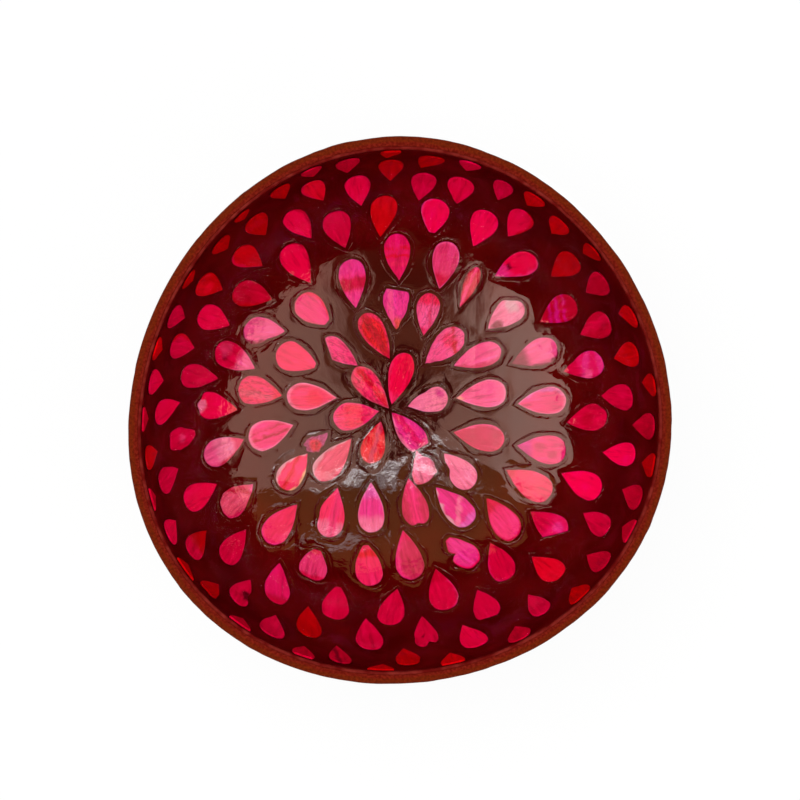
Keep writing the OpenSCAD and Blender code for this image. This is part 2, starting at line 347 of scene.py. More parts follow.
def lacquer_finish():
    """Dark red lacquer under the clear coat, painted darker towards the bottom as painted shade, with a
    lighter, patchy lip that is a painted highlight.
    """
    f = material("dark_red_lacquer")
    place = f.millimetres()
    z = f.parts(place)[2]
    cloud = f.noise(place, 0.08, 3.0)
    speck = f.noise(place, 1.4, 3.0, 0.6)
    # Painted shade: the lacquer is painted darker towards the bottom of the bowl
    deep = f.step(z, 16.0, 4.0)
    colour = f.blend(f.step(cloud, 0.35, 0.7), srgb(67, 0, 0), srgb(83, 3, 2))
    colour = f.blend(deep * 0.7, colour, srgb(28, 4, 2))
    colour = f.blend(f.step(speck, 0.62, 0.75) * 0.35, colour, srgb(30, 2, 1))
    # Painted highlight: the lip is painted lighter than the wall, and paler still in patches, where its
    # edge catches the light
    unevenness = f.step(f.noise(place, 0.35, 3.0), 0.35, 0.7)
    lip_highlight = f.blend(unevenness, srgb(90, 10, 8), srgb(120, 36, 30))
    colour = f.blend(f.step(z, BOWL_H - 2.4, BOWL_H - 0.2), colour, lip_highlight)
    shader = f.node("BsdfPrincipled", {}, {
        "Base Color": colour, "Roughness": 0.4 + speck * 0.2, "IOR": 1.06,
        "Normal": f.bump(speck + cloud, 0.12, 0.0002)})
    return f.surface(shader)


def pearl_finish():
    """Dyed mother-of-pearl: layered, streaked along the petal, with veins and a silky sheen, which is
    painted: paler streaks, faint paler bands along the layers and paler patches at the edge are painted
    highlight.
    """
    f = material("dyed_mother_of_pearl")
    dye = f.given("dye", "Color")
    veined = f.given("dye", "Alpha")
    lay = f.given("lay", "Vector")
    to_edge = f.given("to_edge")
    streaks = f.noise(f.stretch(lay, (0.9, 0.13, 1.0)), 1.0, 4.0, 0.6, 0.6)
    clouds = f.noise(f.stretch(lay, (0.3, 0.2, 1.0)), 1.0, 2.0)
    layers = f.noise(f.stretch(lay, (0.16, 0.7, 1.0)), 1.0, 3.0, 0.5, 0.5)
    # Painted highlight: the paler side of the streaks along the petal
    colour = f.blend(f.step(streaks, 0.5, 0.7) * 0.6, dye, f.blend(0.85, dye, dye, "SCREEN"))
    colour = f.blend(f.step(streaks, 0.5, 0.3) * (0.4 + veined * 0.25), colour,
                     f.blend(0.85, colour, srgb(140, 0, 34), "MULTIPLY"))
    colour = f.blend(f.step(clouds, 0.5, 0.72) * 0.34, colour, f.blend(0.6, colour, colour, "SCREEN"))
    # The nacre's layers, shown as faint paler bands: the layering is the pearl's own, the paler tone a
    # painted sheen
    colour = f.blend(f.step(layers, 0.55, 0.75) * 0.12, colour, f.blend(0.7, colour, colour, "SCREEN"))
    crack = abs(f.noise(f.stretch(lay, (0.42, 0.16, 1.0)), 1.9, 4.0, 0.6, 0.8) - 0.5)
    vein = f.step(crack, 0.038, 0.004) * f.step(veined, 0.04, 1.1)
    colour = f.blend(vein * 0.8, colour, srgb(104, 0, 14))
    # Painted highlight: paler patches along the petal's edge, where the edge catches the light
    edge_highlight_patches = f.noise(lay, 0.7, 3.0)
    colour = f.blend(f.step(to_edge, 0.93, 0.985) * f.step(edge_highlight_patches, 0.5, 0.7) * 0.4, colour,
                     f.blend(0.8, colour, colour, "SCREEN"))
    shader = f.node("BsdfPrincipled", {}, {
        "Base Color": colour, "Roughness": 0.4 + streaks * 0.2, "IOR": 1.06,
        "Normal": f.bump(streaks + clouds * 0.5, 0.2, 0.0002)})
    return f.surface(shader)


def coat_finish():
    """The clear top coat: only its upper surface mirrors, and the rest lets light through.
    It sinks in a wandering groove around each petal, where it shrank as it dried, and it
    pooled a little flatter to the left and right. Up the wall it mirrors less."""
    f = material("clear_gloss_coat")
    place = f.millimetres()
    ripple = f.noise(place, 0.35, 3.0, 0.5) + f.noise(place, 1.3, 2.0, 0.5) * 0.3
    wander = f.noise(place, 0.16, 3.0, 0.55)
    off_groove = abs(f.given("beyond") + wander * 2.4 - 2.45)
    groove = f.step(off_groove, 0.36, 0.0) * f.step(f.noise(place, 0.12, 3.0), 0.34, 0.5)
    x, _, z = f.parts(place)
    lean = f.math("MAXIMUM", abs(x + 2.0) - 24.0, 0.0) * 0.17
    normal = f.bump(ripple * 0.24 - groove * 0.42 - lean, 1.0, 0.0004)
    facing = 1 - f.node("NewGeometry", {}, {}, "Backfacing")
    mirror = f.math("MINIMUM", f.node("Fresnel", {}, {"IOR": 1.6, "Normal": normal}), 0.085)
    on_wall = f.step(z, 21.0, 33.0) * 0.6 + f.step(z, BOWL_H - 5.0, BOWL_H - 1.0) * 0.4
    share = mirror * facing * f.given("top_side") * (1 - on_wall)
    clear = f.node("BsdfTransparent", {}, {"Color": (1.0, 1.0, 1.0)})
    gloss = f.node("BsdfGlossy", {}, {"Color": (1.0, 1.0, 1.0), "Roughness": 0.03, "Normal": normal})
    return f.surface(f.node("MixShader", {}, {0: share, 1: clear, 2: gloss}))


# The petals' dyes, as they show on a screen. A few touches use them as painted highlights, reflections
# and shadows, as marked in the rings below
DYES = {
    "grey pink": (214, 150, 160),
    "pale": (244, 112, 150),
    "pale pink": (244, 74, 134),
    "pink": (242, 38, 112),
    "lilac": (226, 84, 170),
    "magenta": (206, 14, 120),
    "magenta pink": (236, 42, 130),
    "coral": (244, 34, 92),
    "pale coral": (232, 72, 104),
    "rose": (206, 36, 82),
    "dusty pink": (230, 48, 104),
    "hot pink": (232, 14, 88),
    "orange": (226, 70, 40),
    "straw": (236, 186, 130),
    "mauve": (170, 60, 110),
    "bright crimson": (255, 0, 74),
    "hot crimson": (238, 0, 62),
    "crimson": (212, 0, 54),
    "deep crimson": (190, 0, 38),
    "scarlet": (228, 2, 34),
    "red": (200, 0, 8),
    "dark red": (178, 0, 4),
    "wine": (110, 0, 24),
    "black red": (44, 0, 4),
}

# Ring by ring, each petal's bearing, share up the wall, turn, length and width shares as in
# the part's source, then its dye, how strongly it is veined, and what sets it apart.
# Places on a petal run from -1 at the tip to 1 at the round end, and from -1 on the right
# to 1 on the left of somebody who looks from the tip to the round end.
RINGS = [
    [
        (8, 0.076, 7, 0.83, 0.96, "pale", 0.1,
         [("spot", 0.35, 0.72, 0.3, "magenta"), ("edge", 0.2, "pale"),
          ("nick", 0.75, 0.0, 0.35, 0.25)]),
        (74, 0.055, 0, 1.09, 0.93, "hot crimson", 0.25,
         [("side", 1, 0.3, "coral"), ("tip", 0.2, "coral")]),
        (138, 0.052, -7, 1.08, 0.92, "coral", 0.8,
         [("stripe", -0.2, 0.4, "scarlet"), ("edge", 0.14, "pale coral")]),
        (194.5, 0.073, -5, 0.94, 1.04, "coral", 0.5,
         [("band", 0.1, 0.5, "hot crimson"), ("edge", 0.22, "pink")]),
        (245.5, 0.081, 8, 0.88, 0.9, "scarlet", 0.5, [("stripe", 0.1, 0.3, "rose")]),
        (304, 0.061, 7, 1.03, 0.94, "magenta pink", 0.6,
         [("stripe", 0.1, 0.35, "hot pink"), ("side", -1, 0.26, "pale"), ("cut", 0.82, 0.1)]),
    ],
    [
        (102, 0.16, 19, 1.08, 0.92, "scarlet", 0.9,
         [("edge", 0.26, "coral"), ("stripe", 0.0, 0.4, "deep crimson")]),
        (133.5, 0.172, 10, 0.91, 0.78, "pink", 0.7, [("cut", 0.8, -0.7), ("edge", 0.15, "pale pink")]),
        (173, 0.19, 4, 1.05, 1.02, "coral", 0.35,
         [("edge", 0.18, "pale"), ("spot", 0.1, -0.1, 0.4, "hot crimson")]),
        (205.5, 0.187, 11, 0.54, 0.6, "mauve", 1.0,
         [("ragged", 0.12), ("spot", 0.2, 0.3, 0.6, "scarlet")]),
        # Painted highlight: this petal's grey side
        (222.5, 0.175, 6, 1.08, 1.0, "pale coral", 0.25,
         [("side", -1, 0.3, "grey pink"), ("side", 1, 0.2, "coral")]),
        (297, 0.156, -10, 0.67, 0.92, "pale", 0.5, [("ragged", 0.12), ("side", -1, 0.2, "pale coral")]),
        (316.5, 0.22, -6, 0.91, 1.0, "pale", 0.15,
         [("nick", -0.62, -0.35, 0.3, 0.3), ("edge", 0.12, "pale")]),
        (341, 0.219, 10, 1.06, 1.02, "rose", 0.35,
         [("edge", 0.1, "coral"), ("side", 1, 0.2, "pale pink")]),
        (7.5, 0.217, 1, 1.04, 1.04, "pale pink", 0.25, [("tip", 0.1, "straw"), ("edge", 0.1, "pale")]),
        (30, 0.242, -9, 1.04, 0.92, "pale pink", 0.15,
         [("side", -1, 0.55, "rose"), ("side", 1, 0.4, "pale pink")]),
        (48.5, 0.184, -7, 1.01, 1.0, "pale pink", 0.5,
         [("spot", 0.1, 0.35, 0.4, "coral"), ("slash", -0.2, 0.5, 35, 0.12, "red"), ("ragged", 0.03)]),
        (69, 0.235, 12, 0.89, 0.86, "pale pink", 0.6,
         [("end", 0.25, "hot crimson"), ("stripe", -0.3, 0.2, "rose"), ("tip", 0.18, "hot pink")]),
        (87.5, 0.236, 5, 0.95, 0.96, "magenta pink", 0.5,
         [("tip", 0.24, "orange"), ("cut", 0.74, 0.12), ("ragged", 0.03),
          ("stripe", 0.4, 0.3, "pale pink")]),
        # Painted reflection: this petal's pale round end and pale edge
        (258.5, 0.252, 11, 1.05, 1.0, "magenta pink", 0.2,
         [("tip", 0.32, "lilac"), ("end", 0.3, "pale"), ("edge", 0.1, "pale")]),
        (283, 0.242, -1, 1.04, 0.98, "rose", 0.2,
         [("nick", 0.0, 1.0, 0.18, 0.14), ("stripe", 0.0, 0.5, "pink")]),
    ],
    [
        (107.5, 0.326, -10, 1.07, 1.02, "pink", 0.3,
         [("band", 0.0, 0.34, "deep crimson"), ("end", 0.3, "magenta pink"),
          ("tip", 0.3, "magenta pink")]),
        (129, 0.315, 9, 0.93, 1.08, "pink", 0.2,
         [("side", -1, 0.35, "hot crimson"), ("side", 1, 0.2, "pale coral"), ("blunt", 0.8)]),
        (153, 0.266, 5, 0.96, 1.08, "coral", 0.02, [("blunt", 0.85)]),
        (173, 0.348, -4, 0.98, 1.08, "coral", 0.6,
         [("stripe", 0.3, 0.3, "pale coral"), ("tip", 0.2, "hot crimson")]),
        (192, 0.31, 6, 1.02, 1.1, "pink", 0.1,
         [("stripe", 0.15, 0.12, "deep crimson"), ("stripe", -0.3, 0.1, "crimson"),
          ("edge", 0.14, "pale")]),
        (213, 0.283, 18, 0.91, 1.0, "coral", 0.15,
         [("slash", -0.1, 0.2, 80, 0.1, "scarlet"), ("side", -1, 0.22, "grey pink"),
          ("side", 1, 0.15, "straw")]),
        # Painted reflection: this petal's pale round end
        (240.5, 0.301, 16, 1.06, 1.04, "coral", 0.12,
         [("end", 0.32, "pale"), ("stripe", 0.2, 0.4, "pink"), ("nick", -0.8, 0.3, 0.25, 0.14)]),
        (302, 0.295, 12, 1.07, 1.04, "magenta pink", 0.15,
         [("side", -1, 0.24, "grey pink"), ("slash", 0.1, 0.25, -40, 0.1, "pale"),
          ("end", 0.14, "lilac")]),
    ],
    [
        (2.3, 0.399, 4, 1.08, 1.04, "pink", 0.3, [("side", 1, 0.35, "lilac"), ("edge", 0.1, "pale")]),
        (20.5, 0.41, 3, 1.1, 1.02, "pale pink", 0.1,
         [("tip", 0.34, "wine"), ("side", -1, 0.15, "wine")]),
        (39.5, 0.389, 2, 0.99, 1.0, "pale", 0.3,
         [("nick", 0.7, 0.75, 0.4, 0.3), ("spot", -0.35, -0.6, 0.36, "wine"),
          ("spot", 0.2, 0.5, 0.4, "grey pink")]),
        (57.5, 0.371, 9, 0.97, 0.54, "crimson", 0.4,
         [("stripe", 0.1, 0.3, "pink"), ("side", 1, 0.3, "wine")]),
        (70, 0.397, 9, 1.1, 1.0, "dusty pink", 0.3,
         [("tip", 0.3, "crimson"), ("edge", 0.1, "pale pink")]),
        (88, 0.39, 6, 1.06, 0.98, "hot pink", 0.3,
         [("band", 0.4, 0.1, "scarlet"), ("band", 0.05, 0.08, "scarlet"),
          ("band", -0.3, 0.1, "coral")]),
        (123.3, 0.48, 0, 1.12, 1.06, "hot crimson", 0.05, [("side", -1, 0.2, "deep crimson")]),
        # Painted shadow: this petal's wine side
        (149, 0.408, 26, 0.94, 1.06, "pale pink", 0.1,
         [("nick", 0.8, -0.3, 0.3, 0.24), ("side", 1, 0.3, "wine")]),
        (162.3, 0.465, -9, 1.1, 1.0, "crimson", 0.2,
         [("tip", 0.42, "pale pink"), ("spot", 0.25, 0.4, 0.2, "wine"),
          ("spot", -0.3, 0.6, 0.4, "rose")]),
        (179.2, 0.5, -8, 1.08, 1.0, "hot crimson", 0.15,
         [("spot", 0.1, 0.78, 0.34, "pale"), ("nick", -0.4, 0.9, 0.22, 0.2),
          ("nick", 0.5, 0.9, 0.2, 0.14)]),
        (193.5, 0.478, 9, 1.06, 1.0, "pale", 0.05,
         [("side", 1, 0.28, "crimson"), ("tip", 0.24, "hot pink"), ("end", 0.3, "pale pink")]),
        (210, 0.49, 9, 1.0, 1.0, "pale coral", 0.4,
         [("slash", -0.35, -0.28, 128, 0.14, "deep crimson"), ("tip", 0.14, "pale pink"),
          ("side", 1, 0.26, "hot pink"),
          ("ragged", 0.02)]),
        (226, 0.422, 2, 1.1, 1.02, "coral", 0.02, [("edge", 0.1, "pink")]),
        (243, 0.478, 10, 0.82, 1.06, "dusty pink", 0.15,
         [("nick", -0.3, 1.0, 0.35, 0.14), ("end", 0.16, "crimson"), ("tip", 0.22, "crimson"),
          ("blunt", 0.8)]),
        (261, 0.43, 13, 1.0, 1.04, "coral", 0.1, [("band", -0.45, 0.2, "scarlet"), ("blunt", 0.84)]),
        (276, 0.402, 4, 1.12, 1.04, "rose", 0.2, [("side", -1, 0.5, "pink"), ("tip", 0.2, "hot pink")]),
        (295.3, 0.435, 20, 0.94, 0.98, "magenta pink", 0.1,
         [("nick", -0.9, -0.15, 0.14, 0.6), ("nick", -0.8, -0.8, 0.14, 0.25), ("ragged", 0.045),
          ("blunt", 0.82),
          ("edge", 0.1, "hot crimson")]),
        (314.5, 0.418, -8, 1.11, 1.04, "pink", 0.1,
         [("tip", 0.3, "crimson"), ("edge", 0.1, "crimson")]),
        (331, 0.416, 0, 1.15, 1.06, "coral", 0.08, [("tip", 0.2, "crimson"), ("end", 0.3, "coral")]),
        (344.5, 0.413, 8, 1.1, 1.08, "pink", 0.2,
         [("tip", 0.3, "magenta"), ("spot", 0.1, -0.1, 0.24, "rose"),
          ("spot", -0.3, 0.5, 0.26, "rose")]),
    ],
    [
        (12.7, 0.574, 4, 1.09, 1.0, "hot pink", 0.15,
         [("slash", 0.0, 0.1, 25, 0.2, "magenta pink"), ("spot", -0.75, 0.1, 0.3, "pale pink"),
          ("end", 0.14, "magenta pink"), ("tip", 0.34, "crimson"), ("nick", 0.8, -0.5, 0.2, 0.12)]),
        (30.7, 0.561, 2, 1.09, 1.02, "deep crimson", 0.1,
         [("slash", 0.0, -0.1, 30, 0.12, "magenta"), ("slash", 0.0, -0.45, 30, 0.1, "magenta"),
          ("slash", 0.0, 0.35, 30, 0.08, "magenta")]),
        (49.3, 0.539, -18, 1.13, 0.96, "hot crimson", 0.2,
         [("spot", 0.3, -0.25, 0.2, "black red"), ("side", -1, 0.3, "pink"),
          ("tip", 0.3, "magenta pink")]),
        (64.2, 0.586, 3, 1.09, 1.02, "bright crimson", 0.02, []),
        (78.1, 0.557, 5, 1.01, 1.04, "bright crimson", 0.12,
         [("side", 1, 0.2, "pink"), ("blunt", 0.84)]),
        (93.2, 0.544, -6, 1.11, 0.98, "red", 0.1, [("side", -1, 0.4, "red")]),
        (107, 0.524, 3, 1.01, 1.04, "crimson", 0.08, [("stripe", 0.2, 0.3, "crimson")]),
        (141, 0.524, 20, 1.03, 1.04, "deep crimson", 0.12, [("side", 1, 0.4, "dark red")]),
        (253.2, 0.596, 3, 0.97, 1.02, "crimson", 0.05, [("blunt", 0.85)]),
        (269.5, 0.594, -12, 1.01, 0.98, "crimson", 0.08, []),
        (284.8, 0.55, 0, 1.09, 1.06, "crimson", 0.1,
         [("side", 1, 0.12, "pink"), ("tip", 0.3, "deep crimson")]),
        (304.6, 0.538, -8, 1.01, 1.0, "crimson", 0.1, [("side", -1, 0.14, "hot pink")]),
        (323.2, 0.559, 2, 1.09, 1.04, "hot pink", 0.12,
         [("tip", 0.5, "crimson"), ("cut", 0.7, 0.6), ("spot", 0.2, 0.5, 0.3, "magenta pink")]),
        (338.5, 0.594, -2, 1.17, 1.02, "bright crimson", 0.02, []),
        (357.2, 0.564, 13, 1.07, 1.0, "crimson", 0.15,
         [("nick", 0.5, 0.7, 0.25, 0.2), ("spot", -0.1, 0.0, 0.4, "deep crimson")]),
    ],
    [
        (3.5, 0.707, -2, 1.07, 0.96, "crimson", 0.1, []),
        (22.5, 0.684, 5, 1.07, 1.0, "deep crimson", 0.1, [("stripe", 0.2, 0.4, "crimson")]),
        (40.5, 0.709, 1, 1.13, 0.96, "dark red", 0.05, []),
        (56.8, 0.701, 1, 1.09, 0.96, "hot crimson", 0.05, [("side", -1, 0.3, "red")]),
        (73.8, 0.719, 4, 1.03, 0.96, "hot crimson", 0.1, []),
        (83.1, 0.692, -2, 1.01, 0.9, "crimson", 0.1, []),
        (99.5, 0.679, 2, 1.07, 0.94, "hot crimson", 0.05, [("side", -1, 0.3, "crimson")]),
        (117.1, 0.62, 10, 1.09, 0.9, "hot crimson", 0.05, [("side", -1, 0.3, "deep crimson")]),
        (133.9, 0.652, 11, 1.03, 0.92, "red", 0.1, [("side", 1, 0.3, "crimson")]),
        (153.2, 0.619, 2, 1.05, 0.98, "hot crimson", 0.05, []),
        (170.3, 0.594, 1, 1.13, 0.88, "crimson", 0.2, [("stripe", 0.0, 0.3, "crimson")]),
        (187.3, 0.647, 8, 0.97, 0.84, "crimson", 0.1,
         [("nick", 0.7, 0.2, 0.25, 0.12), ("ragged", 0.04), ("blunt", 0.8),
          ("spot", 0.0, 0.1, 0.3, "dusty pink")]),
        (203.4, 0.626, 3, 1.13, 0.96, "hot crimson", 0.05, [("edge", 0.12, "hot crimson")]),
        (220.4, 0.614, 8, 1.11, 0.9, "crimson", 0.05, []),
        (236.1, 0.619, 19, 1.11, 0.98, "hot pink", 0.1,
         [("slash", 0.3, 0.7, 0, 0.12, "pink"), ("end", 0.2, "deep crimson")]),
        (294.7, 0.674, 0, 0.99, 1.0, "crimson", 0.05, [("cut", 0.85, 0.1)]),
        (314, 0.684, 8, 1.09, 0.94, "scarlet", 0.05, []),
    ],
    [
        (13.8, 0.804, 3, 1.13, 0.92, "red", 0.05, []),
        (32.3, 0.804, 3, 1.11, 0.94, "deep crimson", 0.05, []),
        (91.4, 0.787, 1, 1.03, 0.88, "dark red", 0.05, []),
        (110.1, 0.751, 11, 0.99, 0.86, "scarlet", 0.05, [("side", 1, 0.3, "crimson")]),
        (126.5, 0.754, 1, 1.01, 0.94, "dark red", 0.05, []),
        (145.9, 0.736, 7, 1.07, 0.96, "red", 0.1, [("spot", 0.2, 0.0, 0.4, "scarlet")]),
        (163, 0.727, 3, 0.97, 0.94, "crimson", 0.05, [("side", -1, 0.4, "red")]),
        (179.4, 0.746, 13, 1.07, 0.86, "hot crimson", 0.05, []),
        (196, 0.769, 11, 0.99, 0.9, "crimson", 0.05, []),
        (213.4, 0.762, 8, 1.13, 0.88, "dark red", 0.05, [("end", 0.4, "crimson")]),
        (229.6, 0.756, 2, 1.07, 0.92, "crimson", 0.05,
         [("nick", 0.75, 0.1, 0.4, 0.55), ("spot", 0.5, 0.1, 0.4, "black red")]),
        (247.6, 0.728, 12, 1.05, 0.94, "dark red", 0.1, []),
        (263.1, 0.731, 8, 1.13, 0.98, "crimson", 0.05, []),
        (277.5, 0.729, 0, 1.11, 0.9, "crimson", 0.15,
         [("nick", -0.8, 0.3, 0.2, 0.15), ("nick", 0.35, 0.95, 0.2, 0.4),
          ("spot", -0.2, 0.2, 0.16, "wine")]),
        (288.3, 0.816, 8, 1.15, 0.96, "hot crimson", 0.05, []),
        (306, 0.814, 2, 1.09, 0.78, "crimson", 0.05, []),
        (331, 0.736, -2, 1.07, 0.86, "crimson", 0.05, [("side", 1, 0.3, "crimson")]),
        (349.1, 0.731, 5, 1.17, 0.86, "bright crimson", 0.05, []),
    ],
    [
        (49.3, 0.856, 3, 0.97, 0.88, "red", 0.05, []),
        (64.8, 0.834, 4, 1.11, 0.76, "crimson", 0.05, []),
        (83, 0.874, -14, 0.97, 0.86, "dark red", 0.05, []),
        (101.5, 0.874, -2, 1.01, 0.88, "deep crimson", 0.05, []),
        (117.8, 0.876, 2, 1.03, 0.78, "dark red", 0.05, []),
        (136.2, 0.85, 4, 0.81, 0.86, "dark red", 0.05, []),
        (156.3, 0.857, 3, 1.05, 0.9, "crimson", 0.05, []),
        (172.4, 0.867, 2, 1.03, 0.92, "hot crimson", 0.05, []),
        (189.6, 0.887, 5, 1.01, 0.86, "red", 0.05, []),
        (207, 0.887, 10, 1.01, 0.88, "hot crimson", 0.05, []),
        (223, 0.894, -8, 1.01, 0.8, "dark red", 0.05, [("nick", 0.0, 1.0, 0.3, 0.3)]),
        (239.7, 0.842, 3, 1.09, 0.98, "crimson", 0.05, []),
        (256.3, 0.894, 8, 1.05, 0.8, "deep crimson", 0.05, [("stripe", -0.3, 0.3, "wine")]),
        (272.2, 0.878, 6, 0.99, 0.92, "dark red", 0.1, [("nick", 0.7, 0.5, 0.25, 0.2)]),
        (323.6, 0.879, 5, 1.21, 0.88, "deep crimson", 0.05, []),
        (340.6, 0.877, -3, 1.19, 0.9, "deep crimson", 0.05, []),
        (357, 0.876, 2, 1.29, 0.94, "deep crimson", 0.05, []),
    ],
    [
        (6.8, 0.941, -3, 1.05, 0.8, "dark red", 0.05, []),
        (23.2, 0.924, -8, 1.13, 0.84, "red", 0.05, []),
        (40.2, 0.929, -5, 1.01, 0.78, "dark red", 0.05, []),
        (57.8, 0.907, -1, 1.07, 0.84, "red", 0.05, []),
        (74.2, 0.934, 0, 0.99, 0.78, "crimson", 0.05, []),
        (92.1, 0.954, -6, 0.95, 0.7, "dark red", 0.05, []),
        (109.8, 0.936, 2, 1.01, 0.78, "deep crimson", 0.05, []),
        (128.3, 0.929, 0, 0.73, 0.66, "dark red", 0.05, []),
        (147.1, 0.939, 2, 0.83, 0.76, "dark red", 0.05, []),
        (164.6, 0.944, -1, 1.03, 0.86, "red", 0.05, []),
        (180.8, 0.964, -2, 0.99, 0.86, "deep crimson", 0.05, []),
        (198.5, 0.979, 0, 0.93, 0.8, "deep crimson", 0.05, []),
        (215.4, 0.979, 0, 0.93, 0.96, "dark red", 0.05, []),
        (232.4, 0.974, -2, 0.93, 0.88, "deep crimson", 0.05, []),
        (248, 0.954, 0, 0.97, 0.84, "deep crimson", 0.05, []),
        (265.8, 0.984, -6, 0.81, 0.92, "dark red", 0.05, []),
        (282.2, 0.959, 0, 1.07, 0.86, "red", 0.05, []),
        (298.6, 0.936, -2, 1.05, 0.88, "deep crimson", 0.05, []),
        (315, 0.944, 2, 1.07, 0.94, "dark red", 0.05, []),
        (333.2, 0.964, 1, 1.03, 0.9, "deep crimson", 0.05, []),
        (348.6, 0.949, 1, 1.07, 0.86, "dark red", 0.05, []),
    ],
]
# The CAD has each petal of the first rings as a node of its own, and one node for each other ring
SINGLE_RINGS = 4


class Petal:
    """One petal: where it lies, its outline on a flat sheet, and its colours."""

    def __init__(self, seed, row):
        bearing, share, turn, length, width, self.dye, self.veined, self.touches = row
        self.seed = seed
        self.length = PETAL_L * length
        self.width = PETAL_W * width
        a = math.radians(bearing)
        t = math.radians(turn)
        r, z = wall(LACQUER_R, LACQUER_DEEP, share * math.pi / 2)
        r2, z2 = wall(LACQUER_R, LACQUER_DEEP, (share + 0.001) * math.pi / 2)
        self.middle = bowl_points(r, a, z)
        up = bowl_points(r2, a, z2) - self.middle
        up /= np.linalg.norm(up)
        along = np.array([-math.sin(a), math.cos(a), 0.0])
        self.lengthways = up * math.cos(t) + along * math.sin(t)
        self.crossways = along * math.cos(t) - up * math.sin(t)
        self.outline = self.make_outline()

    def half_width(self, u):
        """Half the teardrop's width at a share u of its length from the tip."""
        widest = TIP_POWER / (TIP_POWER + ROUND_POWER)
        u = np.clip(u, 0, 1)
        return self.width / 2 * (u / widest) ** TIP_POWER * ((1 - u) / (1 - widest)) ** ROUND_POWER

    def make_outline(self):
        """The teardrop, cut by hand: uneven, and with its own chips, notches and blunt ends."""
        turn = np.arange(PETAL_AROUND) * 2 * math.pi / PETAL_AROUND
        u = (1 - np.cos(turn)) / 2
        x = np.where(turn <= math.pi, 1, -1) * self.half_width(u)
        y = self.length * (u - 0.5)
        dice = np.random.default_rng(self.seed)
        amount = HAND_CUT + sum(t[1] for t in self.touches if t[0] == "ragged")
        wobble = np.zeros(PETAL_AROUND)
        for n in range(2, 8):
            wobble += dice.normal() * np.cos(n * turn + dice.uniform(0, 6.28)) / n ** 0.6
        for n in range(8, 15):
            wobble += dice.normal() * np.cos(n * turn + dice.uniform(0, 6.28)) * 0.14
        x, y = x * (1 + amount * wobble), y * (1 + amount * 0.6 * wobble)
        for kind, *values in self.touches:
            if kind == "cut":
                y = np.minimum(y, (values[0] + values[1] * x / self.width * 2) * self.length / 2)
            elif kind == "blunt":
                y = np.maximum(y, -values[0] * self.length / 2)
            elif kind == "nick":
                nick_x, nick_y, reach, depth = values
                away = np.hypot((x / self.width * 2 - nick_x) * self.width / self.length,
                                y / self.length * 2 - nick_y)
                keep = 1 - depth * np.exp(-(away / reach) ** 2)
                x, y = x * keep, y * keep
        return np.stack([x, y], -1)

    def colours(self, spots, to_edge):
        """The dye at points of the sheet, with every touch laid over it."""
        x, y = spots[:, 0] / self.width * 2, spots[:, 1] / self.length * 2
        half = np.maximum(self.half_width((y + 1) / 2), 0.3) / self.width * 2
        # The borders of the touches wander a little
        sheet = np.pad(spots, ((0, 0), (0, 1)))
        x = x + Ripples(self.seed + 300, 2.8)(sheet) * 0.06
        y = y + Ripples(self.seed + 600, 2.8)(sheet) * 0.035
        colour = np.tile(np.array(srgb(*DYES[self.dye])), (len(spots), 1))
        for kind, *values in self.touches:
            if kind == "spot":
                away = np.hypot((x - values[0]) * ASPECT, y - values[1])
                amount = smooth((values[2] - away) / values[2] * 2)
            elif kind == "tip":
                amount = smooth((2 * values[0] - 1 - y) / values[0] + 0.5)
            elif kind == "end":
                amount = smooth((y - 1 + 2 * values[0]) / values[0] + 0.5)
            elif kind == "band":
                amount = smooth((values[1] - abs(y - values[0])) / values[1] * 1.8)
            elif kind == "stripe":
                amount = smooth((values[1] - abs(x - values[0])) / values[1] * 1.8)
            elif kind == "side":
                amount = smooth((values[0] * x / half - 1 + values[1]) / values[1] * 1.6)
            elif kind == "edge":
                amount = smooth((to_edge - 1 + values[0]) / values[0] * 1.4)
            elif kind == "slash":
                way = math.radians(values[2])
                off = abs((y - values[1]) * math.cos(way) - (x - values[0]) * ASPECT * math.sin(way))
                amount = smooth((values[3] - off) / values[3] * 1.6)
            else:
                continue
            colour += (np.array(srgb(*DYES[values[-1]])) - colour) * (TOUCH_COVERS * amount)[:, None]
        return colour

    def mesh(self):
        """Points, faces, dye, lay and share of the way to the edge, as a closed pillow."""
        rings = [0.16, 0.32, 0.48, 0.62, 0.74, 0.84, 0.92, 0.97, 1.0]
        flat = [np.zeros((1, 2))] + [self.outline * t for t in rings]
        edge = [np.zeros(1)] + [np.full(PETAL_AROUND, t) for t in rings]
        drop = [0.0, 0, 0, 0, 0, 0, 0, 0.015, 0.05, 0.13]
        lift = [np.full(len(s), BEDDING_T + PETAL_T - d) for s, d in zip(flat, drop)]
        flat += [self.outline * t for t in (1.0, 0.985)] + [np.zeros((1, 2))]
        edge += [np.ones(PETAL_AROUND), np.ones(PETAL_AROUND), np.zeros(1)]
        lift += [np.full(PETAL_AROUND, BEDDING_T + UNDER_EASE), np.full(PETAL_AROUND, BEDDING_T),
                 np.full(1, BEDDING_T)]
        spots = np.concatenate(flat)
        edge = np.concatenate(edge)
        laid = self.middle + spots[:, :1] * self.crossways + spots[:, 1:] * self.lengthways
        ripple = Ripples(self.seed, 7.0)(laid) * 0.01 * (1 - edge)
        points = on_lacquer(laid, np.concatenate(lift) + ripple)
        n = PETAL_AROUND
        faces = [(0, 1 + (i + 1) % n, 1 + i) for i in range(n)]
        for k in range(len(rings) + 1):
            a, b = 1 + k * n, 1 + (k + 1) * n
            faces += [(a + i, a + (i + 1) % n, b + (i + 1) % n, b + i) for i in range(n)]
        last, hub = 1 + (len(rings) + 1) * n, len(spots) - 1
        faces += [(hub, last + i, last + (i + 1) % n) for i in range(n)]
        lay = np.stack([spots[:, 0], spots[:, 1], np.full(len(spots), self.seed * 3.7)], -1)
        dye = np.concatenate([self.colours(spots, edge), np.full((len(spots), 1), self.veined)], 1)
        return points, faces, dye, lay, edge

